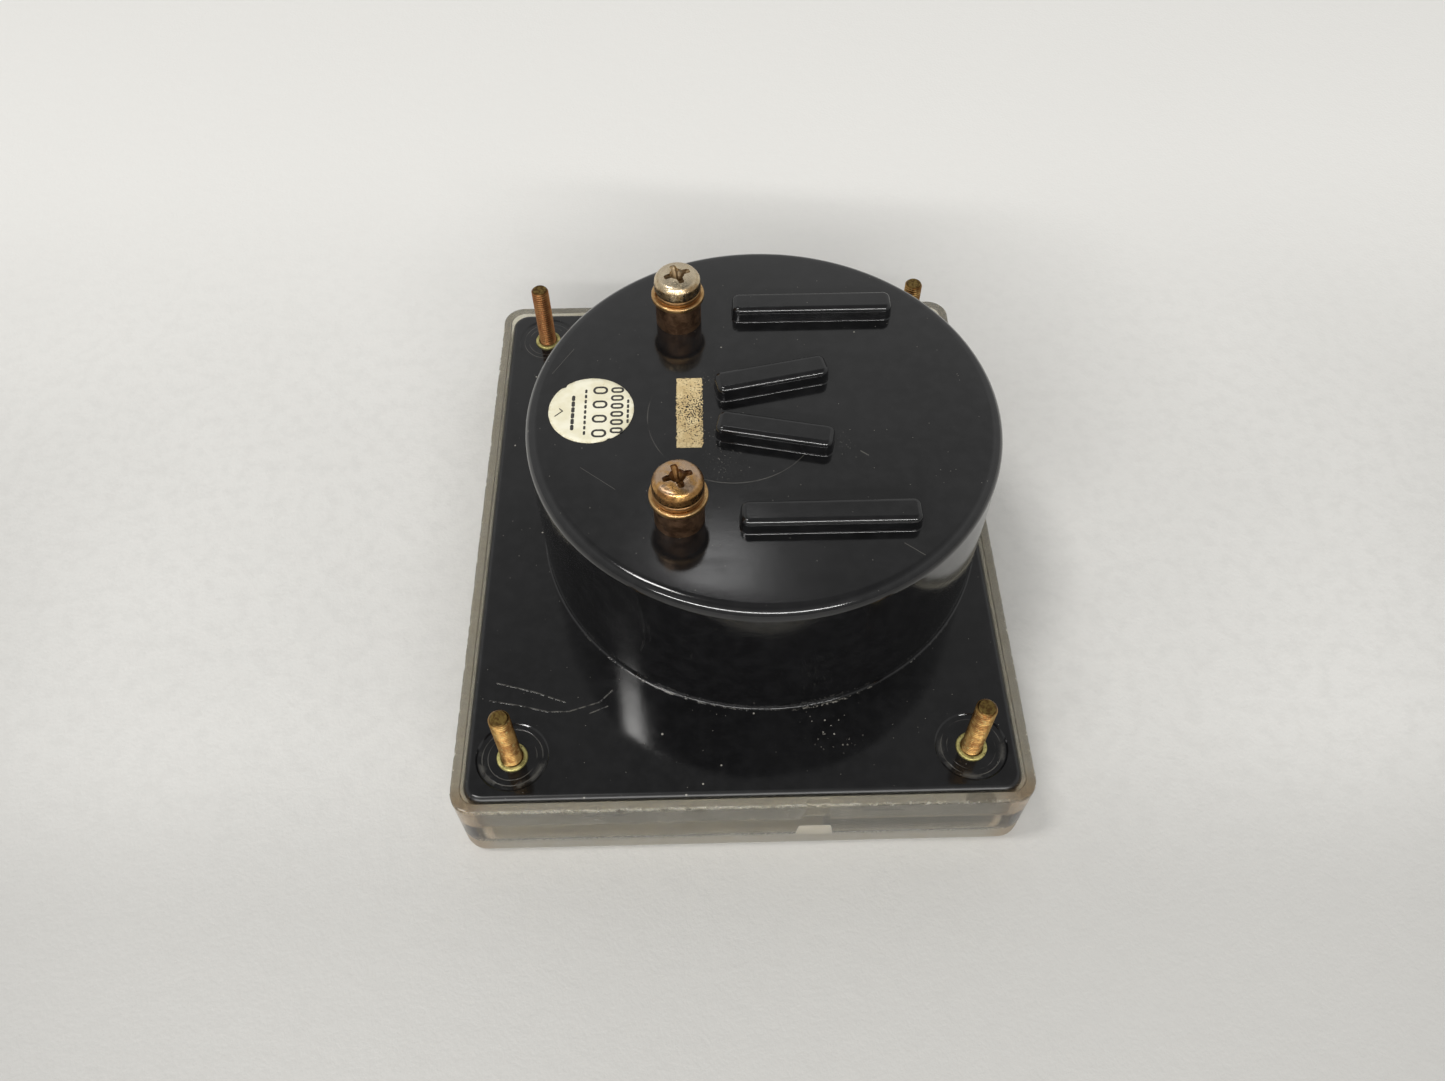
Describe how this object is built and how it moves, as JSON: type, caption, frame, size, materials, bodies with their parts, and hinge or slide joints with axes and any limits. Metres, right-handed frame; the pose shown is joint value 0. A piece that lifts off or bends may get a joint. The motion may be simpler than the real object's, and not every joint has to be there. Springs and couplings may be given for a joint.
{
  "type": "analogue panel meter",
  "caption": "Rectangular moving-coil panel meter with a clear front cover, numbered dial and pointer, round rear barrel, screw terminals and threaded mounting studs.",
  "frame": {"origin": "middle of the four mounting studs, in the plane of the rear rim that bears on the panel", "axes": "+Z out of the back along the studs and the barrel, -X towards the top of the dial, +Y towards the dial's zero end"},
  "size_m": [0.083, 0.1, 0.0502],
  "materials": {
    "clear_cover": "clear acrylic, slightly yellowed",
    "black_base": "glossy black moulded phenolic",
    "yellow_zinc": "steel, yellow zinc plating",
    "tarnished_brass": "tarnished brass",
    "bright_brass": "brass",
    "bronze_spring": "spring bronze",
    "nickel_screw": "nickel plated steel, tarnished",
    "copper_screw": "plated steel, copper coloured tarnish",
    "tinned": "tinned",
    "sticker_paper": "cream paper",
    "tan_patch": "worn tan varnished paper",
    "dial_enamel": "white enamel",
    "mask_black": "satin black",
    "die_cast": "die-cast",
    "soft_iron": "machined soft iron",
    "magnet_alloy": "ground magnet alloy",
    "copper_wire": "enamelled copper winding",
    "pointer_black": "black painted aluminium",
    "wire_red": "insulated hook-up wire",
    "resistor_body": "lacquered resistor body"
  },
  "bodies": {
    "case": {"front_cover": "clear_cover", "base_flange": "black_base", "base_barrel": "black_base", "mounting_studs": "yellow_zinc", "stud_collars": "yellow_zinc", "terminal_post_a": "tarnished_brass", "terminal_post_b": "tarnished_brass", "terminal_nuts": "tarnished_brass", "solder_tags": "tinned", "inspection_sticker": "sticker_paper", "marking_patch": "tan_patch", "dial_plate": "dial_enamel", "dial_screws": "nickel_screw", "pointer_stops": "nickel_screw", "face_mask": "mask_black", "movement_frame": "die_cast", "movement_screws": "nickel_screw", "return_ring": "soft_iron", "magnet_core": "magnet_alloy", "core_spacers": "tarnished_brass", "front_bridge": "bright_brass", "rear_bridge": "bright_brass", "bridge_pillars": "bright_brass", "bridge_screws": "nickel_screw", "jewel_screw_front": "bright_brass", "jewel_screw_rear": "bright_brass", "hairspring_rear": "bronze_spring", "spring_anchor": "bright_brass", "lead_wire": "wire_red", "series_resistor": "resistor_body", "resistor_leads": "tinned"},
    "zero_screw": {"zero_screw": "mask_black"},
    "zero_lever": {"zero_lever": "bright_brass", "hairspring_front": "bronze_spring"},
    "pointer": {"pointer": "pointer_black", "pointer_hub": "die_cast", "counterweights": "bright_brass", "coil_former": "die_cast", "coil_winding": "copper_wire", "pivot_shafts": "nickel_screw"},
    "terminal_a_washers": {"flat_washer_a": "tarnished_brass", "spring_washer_a": "bronze_spring"},
    "terminal_a_screw": {"terminal_screw_a": "nickel_screw"},
    "terminal_b_washers": {"flat_washer_b": "tarnished_brass", "spring_washer_b": "bronze_spring"},
    "terminal_b_screw": {"terminal_screw_b": "copper_screw"}
  },
  "joints": [
    {"name": "zero_adjust", "type": "hinge", "parent": "case", "child": "zero_screw", "pos_m": [0.031, 0, -0.0135], "axis": [0, 0, 1], "range_deg": [-45, 45]},
    {"name": "zero_lever_swing", "type": "hinge", "parent": "case", "child": "zero_lever", "pos_m": [0.02, 0, -0.011], "axis": [0, 0, 1], "range_deg": [-3.5, 3.5]},
    {"name": "pointer_swing", "type": "hinge", "parent": "zero_lever", "child": "pointer", "pos_m": [0.02, 0, -0.008], "axis": [0, 0, 1], "range_deg": [-2.5, 92.5], "stiffness_Nm_per_rad": 0.00003},
    {"name": "terminal_a_lift", "type": "slide", "parent": "case", "child": "terminal_a_washers", "axis": [0, 0, 1], "range_m": [0, 0.0035]},
    {"name": "terminal_a_turn", "type": "hinge", "parent": "terminal_a_washers", "child": "terminal_a_screw", "pos_m": [-0.0081, 0.019, 0.0331], "axis": [0, 0, 1], "range_deg": [0, 1802]},
    {"name": "terminal_b_lift", "type": "slide", "parent": "case", "child": "terminal_b_washers", "axis": [0, 0, 1], "range_m": [0, 0.0035]},
    {"name": "terminal_b_turn", "type": "hinge", "parent": "terminal_b_washers", "child": "terminal_b_screw", "pos_m": [-0.0081, -0.019, 0.0331], "axis": [0, 0, 1], "range_deg": [0, 1802]}
  ],
  "couplings": [
    {"joint": "zero_lever_swing", "follows": "zero_adjust", "ratio": 0.0775},
    {"joint": "terminal_a_turn", "follows": "terminal_a_lift", "rad_per_m": 8976},
    {"joint": "terminal_b_turn", "follows": "terminal_b_lift", "rad_per_m": 8976}
  ]
}
